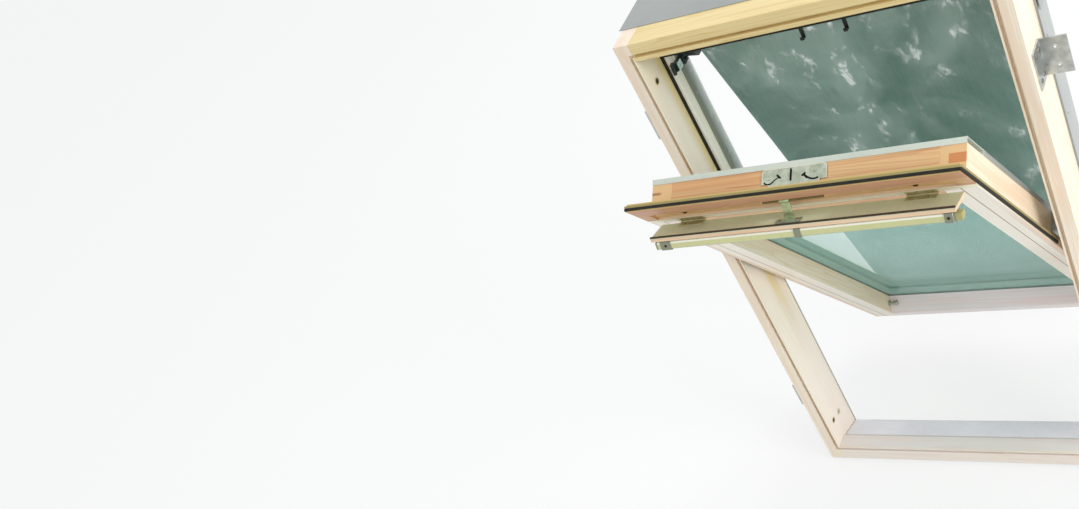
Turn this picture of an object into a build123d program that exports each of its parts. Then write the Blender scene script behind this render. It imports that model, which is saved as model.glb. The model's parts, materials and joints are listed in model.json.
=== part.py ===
"""Centre-pivot roof window, 780 x 1398 mm frame, with ventilation flap and outside screen.

Millimetres. X across the width, +Y out through the roof, +Z up the slope.
Origin: middle of the roof brackets' screw pattern, in the plane on which their feet rest.
Sizes along Y and Z count from the frame's room-side face and its bottom face.
The sash, the flap and the screen are built in the open rest pose.
"""
import os
from math import atan2, cos, degrees, hypot, radians, sin, sqrt
from build123d import *

os.makedirs("parts", exist_ok=True)

# Frame
frame_width = 780.0
frame_height = 1398.0
frame_depth = 126.0
jamb_thick = 36.0
head_thick = 43.5
sill_thick = 46.0
sill_land = 46.0
sill_drop = 8.0
sill_nose = 10.0
groove_width = 8.0
groove_depth = 12.0
groove_inset = 3.0
head_groove_inset = 9.5
running = 0.05
gap = 0.3

# Stops and gasket on the upper half of the frame
stop_thick = 14.0
stop_deep = 40.0
stop_start = 6.0
head_stop_drop = 54.5
frame_seal_thick = 4.0
frame_seal_wide = 7.0

# Plugs in the jambs and bush for the barrel bolt
plug_r = 5.0
plug_deep = 10.0
plug_y = 36.0
plug_from_sill = 75.5
plug_from_head = 78.0
bush_r = 6.5
bush_deep = 14.0
bush_flange = 2.5

# Pivot and rest pose
pivot_inset = 12.0
open_angle = 33.3
flap_angle = 43.0

# Sash
sash_clear_side = 34.0
sash_clear_head = 85.5
sash_clear_sill = 4.0
sash_room = -64.0
sash_outer = 9.0
stile_wide = 47.0
top_rail_wide = 80.0
bottom_rail_wide = 64.0
bottom_bevel = 20.0
glass_v = -18.6
glass_bite = 14.0

# Flange strips, vent board and gasket round the upper half
flange_clear = 20.0
flange_lap = 10.0
flange_thick = 16.0
board_clear = 14.5
board_lap = 27.0
recess_rear = 17.0
recess_lip = 44.0
recess_deep = 5.7
recess_end = 4.0
window_half = 68.0
window_long = 27.8
window_past = 3.8
slot_first = 108.0
slot_pitch = 70.0
slot_half = 26.0
slot_long = 16.0
slot_lip = 6.0
filter_lap = 4.0
filter_thick = 5.0
seal_size = 4.0
seal_tall = 10.0
seal_rise = 2.0
seal_foot = 60.0

# Glazing
pane_thick = 4.0
cavity = 16.0
spacer_width = 11.0
spacer_inset = 4.0
bead_inset = 1.0

# Sheet metal
sheet = 1.2
clad_top_v = 19.5
clad_glass_lap = 9.0
clad_frame_lap = 18.0
clad_low_v = 14.0
clad_split_u = -20.0
clad_nose = 23.0

# Side covers and hood on the frame
cover_clear = 2.0
cover_lap = 13.0
cover_proud = 4.0
cover_height = 48.0
cover_round = 22.0
cover_sheet = 1.5
cover_skirt = 28.0
hood_proud = 4.0
hood_rise = 90.0
hood_drop = 176.0
hood_lip = 9.0
hood_lap = 66.0
sill_cover_set = 8.0
sill_cover_drip = 6.0

# Pivot hinge
hinge_plate = 4.0
hinge_half_len = 46.0
hinge_plate_y = 34.0
housing_r = 20.0
arm_plate = 4.0
arm_boss = 14.0
arm_boss_r = 18.0
arm_half_len = 50.0
pin_r = 6.0

# Lock and striker
lock_left = -69.0
lock_right = 65.0
lock_low_v = -34.0
lock_top_v = 8.0
lock_plate_thick = 2.5
lock_lobe_r = 18.0
lock_lobe_in = 31.0
lock_slot = 5.0
casing_inset = 14.0
casing_depth = 26.0
striker_near = 6.0
striker_far = 40.0
striker_plate = 2.5
striker_hook = 3.0
striker_wide = 8.0
striker_in = 17.0
striker_clear = 0.6

# Flap, measured from its own hinge axis: n towards the sash, d along the flap
flap_axis_back = 2.0
flap_axis_drop = 2.5
flap_side = 1.0
flap_start = 3.0
flap_width = 61.5
leaf_thick = 1.2
leaf_near = 4.0
leaf_far = 17.0
flap_sheet = 1.5
lath_thick = 7.0
flap_seal_wide = 3.0
knuckle_r = 2.4
hinge_pin_r = 1.0
hinge_from_end = 74.0
hinge_len = 57.0
lever_x = -7.0
lever_rod_x = 10.0
lever_rod_len = 124.0
lever_rod_r = 2.5
lever_d = 38.5
lever_n = 39.1
lever_half = 10.0
lever_foot = 26.0
lever_hub = 4.2
bar_d = 51.0
bar_n = -20.7
bar_wide = 20.0
bar_deep = 17.4
bar_short = 7.0
bar_cap = 4.0
holder_long = 18.0
holder_mid = 12.0
holder_inset = 4.0
bar_round = 4.0

# Barrel bolt
bolt_r = 4.0
bolt_up = 62.3
bolt_v = -40.0
bolt_travel = 14.0
bolt_clear = 4.5
barrel_r = 7.0
barrel_out = 22.0
barrel_tail = 3.0
knob_long = 7.0

# Outside screen
hook_from_nose = 8.0
hook_v = 40.0
hook_r = 8.0
hook_foot = 14.0
roll_r = 12.6
cloth_thick = 0.8
cloth_side = 4.0
cloth_short = 148.0
tail_long = 152.0
tail_clear = 0.4
bar_section = 26.0
bar_hollow = 8.0
hook_side = 2.0
hook_thick = 6.0
hook_pin_r = 4.0
roller_cheek = 4.0
roller_cheek_clear = 10.0
roller_cheek_drop = 72.0
roller_cheek_clear_y = 16.0

# Roof brackets
bracket_low_z = 199.0
bracket_from_head = 249.0
bracket_len = 80.0
bracket_leg = 50.0
bracket_sheet = 3.0
bracket_from_face = 66.0
bracket_up = 46.0
bracket_hole_out = 28.0
bracket_hole_r = 3.5
bracket_hole_half = 20.0

# Frame places
pivot_y = frame_depth - pivot_inset
stop_face_y = frame_depth - stop_deep
hood_outer_y = frame_depth + hood_rise
hood_back_y = frame_depth - hood_lap
bracket_face_y = frame_depth - bracket_from_face
striker_y = (frame_depth - striker_far, frame_depth - striker_near)
outer_half = frame_width / 2
inner_half = outer_half - jamb_thick
pivot_z = frame_height / 2
opening_top = frame_height - head_thick
head_groove = (opening_top + head_groove_inset, opening_top + head_groove_inset + groove_width)
sill_groove = (sill_thick - groove_inset - groove_width, sill_thick - groove_inset)
stop_half = inner_half - stop_thick
stop_low_z = pivot_z + hinge_half_len + stop_start
head_stop_z = opening_top - head_stop_drop
plug_z = (sill_thick + plug_from_sill, opening_top - plug_from_head)
bracket_z = (bracket_low_z, frame_height - bracket_from_head)
bracket_hole_x = outer_half + bracket_hole_out
cover_inner = stop_half - gap - cover_sheet
cover_outer = outer_half + cover_proud
hood_half = cover_outer + hood_proud
hood_lip_z = frame_height - hood_drop

# Sash places, measured from the pivot: u up the sash, v outwards
sash_half = inner_half - sash_clear_side
sash_top = opening_top - pivot_z - sash_clear_head
sash_bottom = sill_thick - pivot_z + sash_clear_sill
stile_inner = sash_half - stile_wide
glass_top = sash_top - top_rail_wide
glass_bottom = sash_bottom + bottom_rail_wide
bottom_arris = glass_bottom - bottom_bevel
glass_outer_v = glass_v + 2 * pane_thick + cavity
pane_half = stile_inner + glass_bite
pane_top = glass_top + glass_bite
pane_bottom = glass_bottom - glass_bite
flange_half = inner_half - flange_clear
flange_inner = sash_half - flange_lap
flange_top_v = sash_room + flange_thick
board_front = opening_top - pivot_z - board_clear
board_back = sash_top - board_lap
recess_back = board_back + recess_rear
recess_front = board_front - recess_lip
recess_top_v = sash_room + recess_deep
window_front = recess_front + window_past
slot_front = recess_front - slot_lip
slot_back = slot_front - slot_long
clad_in_x = stile_inner - clad_glass_lap
clad_in_top = glass_top - clad_glass_lap
clad_in_bottom = glass_bottom + clad_glass_lap
clad_half_low = inner_half + clad_frame_lap
clad_nose_u = sash_bottom - clad_nose
skin_v = clad_top_v - sheet
bolt_u = sash_bottom + bolt_up
bush_y = pivot_y + bolt_v
bush_z = pivot_z + bolt_u

# Flap places
flap_axis_u = board_back - flap_axis_back
flap_axis_v = sash_room - flap_axis_drop
flap_half = flange_inner - flap_side
flap_n0 = -leaf_thick
flap_n1 = flap_n0 - flap_sheet
flap_n2 = flap_n1 - lath_thick
hinge_x = flap_half - hinge_from_end
bar_half = flap_half - bar_short

# Screen places
cloth_half = sash_half - cloth_side
hook_x = cloth_half + hook_side
hook_u = clad_nose_u + hook_from_nose
hook_radius = hypot(hook_u, hook_v)
roller_y = pivot_y + hook_v
roller_z = pivot_z + sqrt(hook_radius ** 2 - hook_v ** 2)
cloth_long = roller_z - pivot_z - hook_u - cloth_short
turn = radians(open_angle)
hook_y = pivot_y + hook_v * cos(turn) - hook_u * sin(turn)
hook_z = pivot_z + hook_u * cos(turn) + hook_v * sin(turn)
screen_angle = degrees(atan2(hook_y - roller_y, roller_z - hook_z))

frame_place = Location((0, -bracket_face_y, -sum(bracket_z) / 2))
sash_place = frame_place * Location((0, pivot_y, pivot_z), (open_angle, 0, 0))
flap_place = sash_place * Location((0, flap_axis_v, flap_axis_u), (flap_angle, 0, 0))
screen_place = frame_place * Location((0, roller_y, roller_z), (screen_angle, 0, 0))
tail_place = frame_place * Location((0, hook_y, hook_z), (screen_angle, 0, 0))


def block(place, x, y, z, mode=Mode.ADD):
    """Box between two limits on each axis of a place."""
    middle = Location(((x[0] + x[1]) / 2, (y[0] + y[1]) / 2, (z[0] + z[1]) / 2))
    with Locations(place * middle):
        Box(x[1] - x[0], y[1] - y[0], z[1] - z[0], mode=mode)


def run(place, points, x, mode=Mode.ADD, rounds=(), radius=0.0):
    """Profile in the Y-Z plane of a place, run along X between two limits."""
    section = Plane(place) * Plane(origin=(x[0], 0, 0), x_dir=(0, 1, 0), z_dir=(1, 0, 0))
    with BuildSketch(section, mode=Mode.PRIVATE) as outline:
        with BuildLine():
            Polyline(*points, close=True)
        make_face()
        if radius:
            near = [v for v in outline.sketch_local.vertices()
                    if any(abs(v.X - p[0]) + abs(v.Y - p[1]) < 0.01 for p in rounds)]
            fillet(near, radius)
    extrude(outline.sketch, amount=x[1] - x[0], mode=mode)


def rise(place, points, z, mode=Mode.ADD, rounds=(), radius=0.0):
    """Profile in the X-Y plane of a place, run along Z between two limits."""
    section = Plane(place) * Plane(origin=(0, 0, z[0]), x_dir=(1, 0, 0), z_dir=(0, 0, 1))
    with BuildSketch(section, mode=Mode.PRIVATE) as outline:
        with BuildLine():
            Polyline(*points, close=True)
        make_face()
        if radius:
            near = [v for v in outline.sketch_local.vertices()
                    if any(abs(v.X - p[0]) + abs(v.Y - p[1]) < 0.01 for p in rounds)]
            fillet(near, radius)
    extrude(outline.sketch, amount=z[1] - z[0], mode=mode)


def rod(place, y, z, x, r, mode=Mode.ADD):
    """Round bar or bore along X between two limits."""
    middle = Location(((x[0] + x[1]) / 2, y, z), (0, 90, 0))
    with Locations(place * middle):
        Cylinder(r, x[1] - x[0], mode=mode)


def peg(place, x, z, y, r, mode=Mode.ADD):
    """Round bar or bore along Y between two limits."""
    middle = Location((x, (y[0] + y[1]) / 2, z), (90, 0, 0))
    with Locations(place * middle):
        Cylinder(r, y[1] - y[0], mode=mode)


def post(place, x, y, z, r, mode=Mode.ADD):
    """Round bar or bore along Z between two limits."""
    middle = Location((x, y, (z[0] + z[1]) / 2))
    with Locations(place * middle):
        Cylinder(r, z[1] - z[0], mode=mode)


def span(a, b):
    """Two limits in rising order."""
    return (min(a, b), max(a, b))


def save(builder, name):
    """Label a finished solid and write it out."""
    builder.part.label = name
    export_step(builder.part, "parts/" + name + ".step")


# Timber frame
for side, name in ((-1, "frame_left_jamb"), (1, "frame_right_jamb")):
    with BuildPart() as jamb:
        block(frame_place, span(side * inner_half, side * outer_half), (0, frame_depth), (0, frame_height))
        near = side * (inner_half + groove_inset)
        far = near + side * groove_width
        block(frame_place, span(near, far), (0, groove_depth), (sill_groove[0], head_groove[1]), Mode.SUBTRACT)
        for z in (sill_groove, head_groove):
            block(frame_place, span(side * inner_half, near), (0, groove_depth), z, Mode.SUBTRACT)
        for z in plug_z:
            rod(frame_place, plug_y, z, span(side * inner_half, side * (inner_half + plug_deep)), plug_r,
                Mode.SUBTRACT)
        if side < 0:
            rod(frame_place, bush_y, bush_z, span(-inner_half, -inner_half - bush_deep), bush_r, Mode.SUBTRACT)
    save(jamb, name)

with BuildPart() as frame_top_rail:
    block(frame_place, (-inner_half, inner_half), (0, frame_depth), (opening_top, frame_height))
    block(frame_place, (-inner_half, inner_half), (0, groove_depth), head_groove, Mode.SUBTRACT)
save(frame_top_rail, "frame_top_rail")

with BuildPart() as frame_bottom_rail:
    sill = [(0, 0), (0, sill_thick), (sill_land - 3, sill_thick), (sill_land, sill_thick - 3),
            (sill_land + sill_drop / 2, sill_thick - sill_drop), (frame_depth, sill_nose), (frame_depth, 0)]
    run(frame_place, sill, (-inner_half, inner_half))
    block(frame_place, (-inner_half, inner_half), (0, groove_depth), sill_groove, Mode.SUBTRACT)
save(frame_bottom_rail, "frame_bottom_rail")

for side, name in ((-1, "side_stop_left"), (1, "side_stop_right")):
    with BuildPart() as stop:
        block(frame_place, span(side * stop_half, side * inner_half), (stop_face_y, frame_depth),
              (stop_low_z, opening_top))
    save(stop, name)

with BuildPart() as head_stop:
    block(frame_place, (-stop_half, stop_half), (stop_face_y, frame_depth), (head_stop_z, opening_top))
save(head_stop, "head_stop")

seal_out = inner_half - gap
seal_in = seal_out - frame_seal_wide
seal_high = head_stop_z + frame_seal_wide
with BuildPart() as frame_gasket:
    y = (stop_face_y - frame_seal_thick, stop_face_y)
    block(frame_place, (-seal_out, seal_out), y, (stop_low_z, seal_high))
    block(frame_place, (-seal_in, seal_in), y, (stop_low_z - 1, head_stop_z), Mode.SUBTRACT)
save(frame_gasket, "frame_gasket")

with BuildPart() as jamb_plugs:
    for side in (-1, 1):
        for z in plug_z:
            rod(frame_place, plug_y, z, span(side * inner_half, side * (inner_half + plug_deep)), plug_r - running)
save(jamb_plugs, "jamb_plugs")

bush_bore = bolt_r + 0.6
with BuildPart() as bolt_bush:
    rod(frame_place, bush_y, bush_z, span(-inner_half, -inner_half - bush_deep), bush_r - running)
    rod(frame_place, bush_y, bush_z, span(-inner_half, -inner_half + 1), bush_r + bush_flange)
    rod(frame_place, bush_y, bush_z, span(-inner_half + 1, -inner_half - bush_deep + 1), bush_bore, Mode.SUBTRACT)
save(bolt_bush, "bolt_bush")

# Sheet metal on the frame
for side, name in ((-1, "side_cover_left"), (1, "side_cover_right")):
    with BuildPart() as cover:
        a = side * cover_inner
        b = side * cover_outer
        top = frame_depth + cover_height
        skin = side * cover_sheet
        length = (stop_low_z, frame_height - cover_clear)
        rise(frame_place, [(a, frame_depth), (a, top), (b, top), (b, frame_depth)], length,
             rounds=((a, top), (b, top)), radius=cover_round)
        inner = [(a + skin, frame_depth), (a + skin, top - cover_sheet), (b - skin, top - cover_sheet),
                 (b - skin, frame_depth)]
        rise(frame_place, inner, length, Mode.SUBTRACT, (inner[1], inner[2]), cover_round - cover_sheet)
        block(frame_place, span(a, a + skin), (frame_depth - cover_lap, frame_depth + cover_sheet),
              (stop_low_z, head_stop_z - gap))
        low = frame_depth - cover_skirt
        block(frame_place, span(b, b - skin), (low, frame_depth + cover_sheet), length)
        block(frame_place, span(side * outer_half, b - skin), (low, low + cover_sheet), length)
    save(cover, name)

for side, name in ((-1, "lower_cover_left"), (1, "lower_cover_right")):
    with BuildPart() as cover:
        length = (0, stop_low_z - cover_clear)
        skin = cover_sheet
        block(frame_place, span(side * (inner_half - cover_clear), side * (outer_half + skin)),
              (frame_depth, frame_depth + skin), length)
        block(frame_place, span(side * outer_half, side * (outer_half + skin)),
              (frame_depth - cover_skirt, frame_depth + skin), length)
    save(cover, name)

with BuildPart() as head_hood:
    top = frame_height + cover_sheet
    y1 = hood_outer_y
    ends = (-hood_half, hood_half)
    run(frame_place, [(hood_back_y, frame_height), (hood_back_y, top), (y1, top), (y1, hood_lip_z),
                      (y1 - cover_sheet, hood_lip_z), (y1 - cover_sheet, frame_height)], ends,
        rounds=((y1, top),), radius=cover_sheet * 0.8)
    block(frame_place, ends, (y1 - hood_lip, y1), (hood_lip_z, hood_lip_z + cover_sheet))
    for side in (-1, 1):
        end = span(side * hood_half, side * (hood_half - cover_sheet))
        block(frame_place, end, (frame_depth - cover_skirt + cover_clear, y1), (hood_lip_z, top))
save(head_hood, "head_hood")

with BuildPart() as sill_cover:
    crest_y = sill_land + sill_drop / 2
    crest_z = sill_thick - sill_drop
    y0 = sill_land + sill_cover_set
    z0 = crest_z - (y0 - crest_y) * (crest_z - sill_nose) / (frame_depth - crest_y)
    lip = frame_depth + sheet
    drip = -sill_cover_drip
    half = inner_half - cover_clear - gap
    run(frame_place, [(y0, z0), (y0, z0 + sheet), (lip, sill_nose + sheet), (lip, drip), (frame_depth, drip),
                      (frame_depth, sill_nose)], (-half, half))
save(sill_cover, "sill_cover")

with BuildPart() as roof_brackets:
    for side in (-1, 1):
        for z in bracket_z:
            low = z - bracket_len / 2
            high = z + bracket_len / 2
            block(frame_place, span(side * outer_half, side * (outer_half + bracket_sheet)),
                  (bracket_face_y - bracket_up, bracket_face_y + bracket_sheet), (low, high))
            block(frame_place, span(side * outer_half, side * (outer_half + bracket_leg)),
                  (bracket_face_y, bracket_face_y + bracket_sheet), (low, high))
            for step in (-1, 1):
                peg(frame_place, side * bracket_hole_x, z + step * bracket_hole_half,
                    (bracket_face_y - 1, bracket_face_y + bracket_sheet + 1), bracket_hole_r, Mode.SUBTRACT)
save(roof_brackets, "roof_brackets")

# Striker hooks on the head of the frame
rod_closed_y = pivot_y + flap_axis_v + lever_n
rod_closed_z = pivot_z + flap_axis_u + lever_d
clear = lever_rod_r + striker_clear
with BuildPart() as striker:
    plate = (lever_rod_x - lever_rod_len / 2 + 1, lever_rod_x + lever_rod_len / 2 - 1)
    block(frame_place, plate, striker_y, (head_stop_z - striker_plate, head_stop_z))
    y1 = rod_closed_y + clear
    y0 = rod_closed_y - clear - striker_hook
    z0 = rod_closed_z - clear
    for side in (-1, 1):
        x = lever_rod_x + side * (lever_rod_len / 2 - striker_in)
        arm = (x - striker_wide / 2, x + striker_wide / 2)
        block(frame_place, arm, (y1, y1 + striker_hook), (z0 - striker_hook, head_stop_z))
        block(frame_place, arm, (y0, y1 + striker_hook), (z0 - striker_hook, z0))
        block(frame_place, arm, (y0, y0 + striker_hook), (z0 - striker_hook, rod_closed_z + striker_clear))
save(striker, "striker")

# Pivot hinges
for side, name in ((-1, "pivot_bracket_left"), (1, "pivot_bracket_right")):
    with BuildPart() as bracket:
        plate = side * (inner_half - hinge_plate)
        face = side * (sash_half + arm_plate + arm_boss + gap)
        block(frame_place, span(side * inner_half, plate), (pivot_y - hinge_plate_y, frame_depth - 1),
              (pivot_z - hinge_half_len, pivot_z + hinge_half_len))
        rod(frame_place, pivot_y, pivot_z, span(plate, face), housing_r)
        rod(frame_place, pivot_y, pivot_z, span(plate, side * (sash_half + arm_plate + 1)), pin_r)
    save(bracket, name)

for side, name in ((-1, "pivot_arm_left"), (1, "pivot_arm_right")):
    with BuildPart() as arm:
        plate = side * (sash_half + arm_plate)
        block(sash_place, span(side * sash_half, plate), (-hinge_plate_y, 8), (-arm_half_len, arm_half_len))
        rod(sash_place, 0, 0, span(plate, plate + side * arm_boss), arm_boss_r)
        rod(sash_place, 0, 0, span(side * sash_half - side, plate + side * (arm_boss + 1)), pin_r + running,
            Mode.SUBTRACT)
    save(arm, name)

# Timber sash
with BuildPart() as sash_top_rail:
    rail = [(sash_room, glass_top), (sash_room, board_back), (flange_top_v, board_back),
            (flange_top_v, sash_top), (sash_outer, sash_top), (sash_outer, pane_top), (glass_v, pane_top),
            (glass_v, glass_top)]
    run(sash_place, rail, (-stile_inner, stile_inner))
    block(sash_place, (lock_left + casing_inset, lock_right - casing_inset), (lock_low_v + 4, -3),
          (sash_top - casing_depth - 1, sash_top), Mode.SUBTRACT)
save(sash_top_rail, "sash_top_rail")

with BuildPart() as sash_bottom_rail:
    rail = [(sash_room, sash_bottom), (sash_room, bottom_arris), (glass_v, glass_bottom),
            (glass_v, pane_bottom), (sash_outer, pane_bottom), (sash_outer, sash_bottom)]
    run(sash_place, rail, (-stile_inner, stile_inner))
save(sash_bottom_rail, "sash_bottom_rail")

for side, name in ((-1, "sash_left_stile"), (1, "sash_right_stile")):
    with BuildPart() as stile:
        block(sash_place, span(side * stile_inner, side * sash_half), (sash_room, sash_outer),
              (sash_bottom, sash_top))
        block(sash_place, span(side * stile_inner, side * pane_half), (glass_v, sash_outer),
              (pane_bottom, pane_top), Mode.SUBTRACT)
        block(sash_place, span(side * flange_inner, side * sash_half), (sash_room, flange_top_v),
              (sash_bottom, board_back), Mode.SUBTRACT)
        block(sash_place, span(side * stile_inner, side * sash_half), (sash_room, flange_top_v),
              (board_back, sash_top), Mode.SUBTRACT)
        if side < 0:
            rod(sash_place, bolt_v, bolt_u, (-sash_half, -stile_inner), barrel_r + running, Mode.SUBTRACT)
    save(stile, name)

for side, name in ((-1, "flange_strip_left"), (1, "flange_strip_right")):
    with BuildPart() as strip:
        block(sash_place, span(side * flange_inner, side * flange_half), (sash_room, flange_top_v),
              (sash_bottom, board_back))
        room = strip.edges().filter_by(Axis((0, 0, 0), (0, -sin(turn), cos(turn))))
        chamfer(room.sort_by(lambda e: abs(e.center().X))[-2:], 1.5)
    save(strip, name)

# Vent board across the top of the sash
with BuildPart() as vent_board:
    block(sash_place, (-flange_half, flange_half), (sash_room, flange_top_v), (board_back, board_front))
    recess_half = flange_inner - recess_end
    block(sash_place, (-recess_half, recess_half), (sash_room, recess_top_v), (recess_back, recess_front),
          Mode.SUBTRACT)
    block(sash_place, (lever_rod_x - window_half, lever_rod_x + window_half), (sash_room, flange_top_v),
          (window_front - window_long, window_front), Mode.SUBTRACT)
    for side in (-1, 1):
        for n in range(3):
            x = side * (slot_first + slot_pitch * n)
            block(sash_place, (x - slot_half, x + slot_half), (recess_top_v, flange_top_v),
                  (slot_back, slot_front), Mode.SUBTRACT)
save(vent_board, "vent_board")

with BuildPart() as vent_filter:
    for side in (-1, 1):
        ends = (slot_first - slot_half - filter_lap, slot_first + slot_pitch * 2 + slot_half + filter_lap)
        block(sash_place, span(side * ends[0], side * ends[1]), (flange_top_v, flange_top_v + filter_thick),
              (slot_back - filter_lap, slot_front + filter_lap))
save(vent_filter, "vent_filter")

with BuildPart() as sash_gasket:
    v = (sash_room + seal_rise, sash_room + seal_rise + seal_tall)
    side_x = flange_half + seal_size
    front = board_front + seal_size
    for x in span(-side_x, -flange_half), span(flange_half, side_x):
        block(sash_place, x, v, (seal_foot, front))
    block(sash_place, (-side_x, side_x), v, (board_front, front))
    corner = sash_gasket.edges().filter_by(Axis((0, 0, 0), (0, cos(turn), sin(turn))))
    far = [e for e in corner if abs(abs(e.center().X) - side_x) < 0.01]
    fillet(sorted(far, key=lambda e: e.center().Y)[:2], seal_size)
save(sash_gasket, "sash_gasket")

# Double glazing
with BuildPart() as inner_pane:
    block(sash_place, (-pane_half, pane_half), (glass_v, glass_v + pane_thick), (pane_bottom, pane_top))
save(inner_pane, "inner_pane")

with BuildPart() as outer_pane:
    block(sash_place, (-pane_half, pane_half), (glass_outer_v - pane_thick, glass_outer_v),
          (pane_bottom, pane_top))
save(outer_pane, "outer_pane")

with BuildPart() as glass_spacer:
    v = (glass_v + pane_thick, glass_outer_v - pane_thick)
    x = pane_half - spacer_inset
    low = pane_bottom + spacer_inset
    high = pane_top - spacer_inset
    block(sash_place, (-x, x), v, (low, high))
    block(sash_place, (-x + spacer_width, x - spacer_width), v, (low + spacer_width, high - spacer_width),
          Mode.SUBTRACT)
save(glass_spacer, "glass_spacer")

with BuildPart() as glazing_gasket:
    v = (glass_outer_v, sash_outer)
    x = pane_half - bead_inset
    block(sash_place, (-x, x), v, (pane_bottom + bead_inset, pane_top - bead_inset))
    block(sash_place, (-clad_in_x, clad_in_x), v, (clad_in_bottom, clad_in_top), Mode.SUBTRACT)
save(glazing_gasket, "glazing_gasket")

# Sheet metal on the sash
with BuildPart() as top_cladding:
    x = (-sash_half, sash_half)
    run(sash_place, [(sash_outer, clad_in_top), (clad_top_v, clad_in_top), (clad_top_v, sash_top + sheet),
                     (sash_outer - 1, sash_top + sheet), (sash_outer - 1, sash_top), (skin_v, sash_top),
                     (skin_v, clad_in_top + sheet), (sash_outer, clad_in_top + sheet)], x)
save(top_cladding, "top_cladding")

clad_high = clad_in_top - gap
for side, name in ((-1, "side_cladding_left"), (1, "side_cladding_right")):
    with BuildPart() as cladding:
        a = side * clad_in_x
        b = side * sash_half
        t = side * sheet
        rise(sash_place, [(a, sash_outer), (a, clad_top_v), (b, clad_top_v), (b, sash_outer),
                          (b - t, sash_outer), (b - t, skin_v), (a + t, skin_v), (a + t, sash_outer)],
             (clad_split_u + gap, clad_high))
    save(cladding, name)

for side, name in ((-1, "lower_cladding_left"), (1, "lower_cladding_right")):
    with BuildPart() as cladding:
        a = side * clad_in_x
        m = side * sash_half
        b = side * clad_half_low
        t = side * sheet
        rise(sash_place, [(a, sash_outer), (a, clad_top_v), (b, clad_top_v), (b, clad_low_v),
                          (b - t, clad_low_v), (b - t, skin_v), (m, skin_v), (m, sash_outer),
                          (m - t, sash_outer), (m - t, skin_v), (a + t, skin_v), (a + t, sash_outer)],
             (clad_in_bottom + gap, clad_split_u))
    save(cladding, name)

with BuildPart() as bottom_cladding:
    x = (-clad_half_low, clad_half_low)
    run(sash_place, [(skin_v, clad_in_bottom), (clad_top_v, clad_in_bottom), (clad_top_v, clad_nose_u),
                     (clad_low_v, clad_nose_u), (clad_low_v, clad_nose_u + sheet),
                     (skin_v, clad_nose_u + sheet)], x)
    inner = (-clad_in_x, clad_in_x)
    block(sash_place, inner, (sash_outer, skin_v), (clad_in_bottom - sheet, clad_in_bottom))
    block(sash_place, (-sash_half, sash_half), (sash_outer, skin_v), (sash_bottom, sash_bottom + sheet))
save(bottom_cladding, "bottom_cladding")

# Lock
with BuildPart() as lock_plate:
    u = (sash_top, sash_top + lock_plate_thick)
    lobe_v = lock_low_v + lock_lobe_r - 2
    block(sash_place, (lock_left, lock_right), (lobe_v - 4, lock_top_v), u)
    for x in (lock_left + lock_lobe_in, lock_right - lock_lobe_in):
        post(sash_place, x, lobe_v, u, lock_lobe_r)
    block(sash_place, (lock_left, lock_right), (lock_low_v - 4, lock_low_v), u, Mode.SUBTRACT)
    block(sash_place, (lever_x - lock_slot / 2, lever_x + lock_slot / 2), (lobe_v - 1, lock_top_v - 2.5), u,
          Mode.SUBTRACT)
    for x, way in ((lock_left + lock_lobe_in, 1), (lock_right - lock_lobe_in, -1)):
        hook = (lock_low_v + 7, lock_low_v + 7 + lock_slot)
        block(sash_place, span(x - way * 2, x + way * 2), (hook[0], hook[0] + lock_lobe_r), u, Mode.SUBTRACT)
        block(sash_place, span(x - way * 2, x + way * 12), hook, u, Mode.SUBTRACT)
    for x in (lock_left + 6, lock_right - 6):
        post(sash_place, x, lock_top_v - 6, u, 2.2, Mode.SUBTRACT)
save(lock_plate, "lock_plate")

with BuildPart() as lock_casing:
    inset = casing_inset + gap
    block(sash_place, (lock_left + inset, lock_right - inset), (lock_low_v + 4 + gap, -3 - gap),
          (sash_top - casing_depth, sash_top))
save(lock_casing, "lock_casing")

# Barrel bolt at the foot of the left stile
barrel_start = -sash_half - barrel_out
barrel_end = barrel_tail - stile_inner
with BuildPart() as bolt_barrel:
    rod(sash_place, bolt_v, bolt_u, (barrel_start, barrel_end), barrel_r)
    rod(sash_place, bolt_v, bolt_u, (barrel_start - 1, barrel_end + 1), bolt_r + running, Mode.SUBTRACT)
save(bolt_barrel, "bolt_barrel")

knob_x = barrel_end + bolt_travel + gap
with BuildPart() as bolt_rod:
    rod(sash_place, bolt_v, bolt_u, (-inner_half + bolt_clear, knob_x), bolt_r)
    rod(sash_place, bolt_v, bolt_u, (knob_x, knob_x + knob_long), barrel_r - gap)
    chamfer(bolt_rod.edges().filter_by(GeomType.CIRCLE).sort_by(Axis.X)[0], 1)
save(bolt_rod, "bolt_rod")

# Ventilation flap
with BuildPart() as flap_panel:
    block(flap_place, (-flap_half, flap_half), (flap_n1, flap_n0), (flap_start, flap_width))
save(flap_panel, "flap_panel")

with BuildPart() as flap_lath:
    block(flap_place, (-flap_half, flap_half), (flap_n2, flap_n1), (flap_start, flap_width))
    along = flap_lath.edges().filter_by(Axis.X)
    chamfer(along.sort_by(Axis.Z)[:2], 1.2)
save(flap_lath, "flap_lath")

seal_n1 = sash_room - flap_axis_v - gap
with BuildPart() as flap_gasket:
    block(flap_place, (-flap_half, flap_half), (flap_n0, seal_n1),
          (flap_width - flap_seal_wide, flap_width))
save(flap_gasket, "flap_gasket")

third = hinge_len / 3
leaf_top = sash_room - flap_axis_v
leaf_place = flap_place * Location((0, 0, 0), (-flap_angle, 0, 0))
with BuildPart() as hinge_sash_leaves:
    for side in (-1, 1):
        x = side * hinge_x
        leaf = (leaf_top - leaf_thick, leaf_top)
        block(leaf_place, (x - hinge_len / 2, x + hinge_len / 2), leaf, (leaf_near, leaf_far))
        middle = (x - third / 2 + gap, x + third / 2 - gap)
        block(leaf_place, middle, leaf, (0, leaf_near + 1))
        rod(flap_place, 0, 0, middle, knuckle_r)
        rod(flap_place, 0, 0, middle, hinge_pin_r + running, Mode.SUBTRACT)
save(hinge_sash_leaves, "hinge_sash_leaves")

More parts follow.
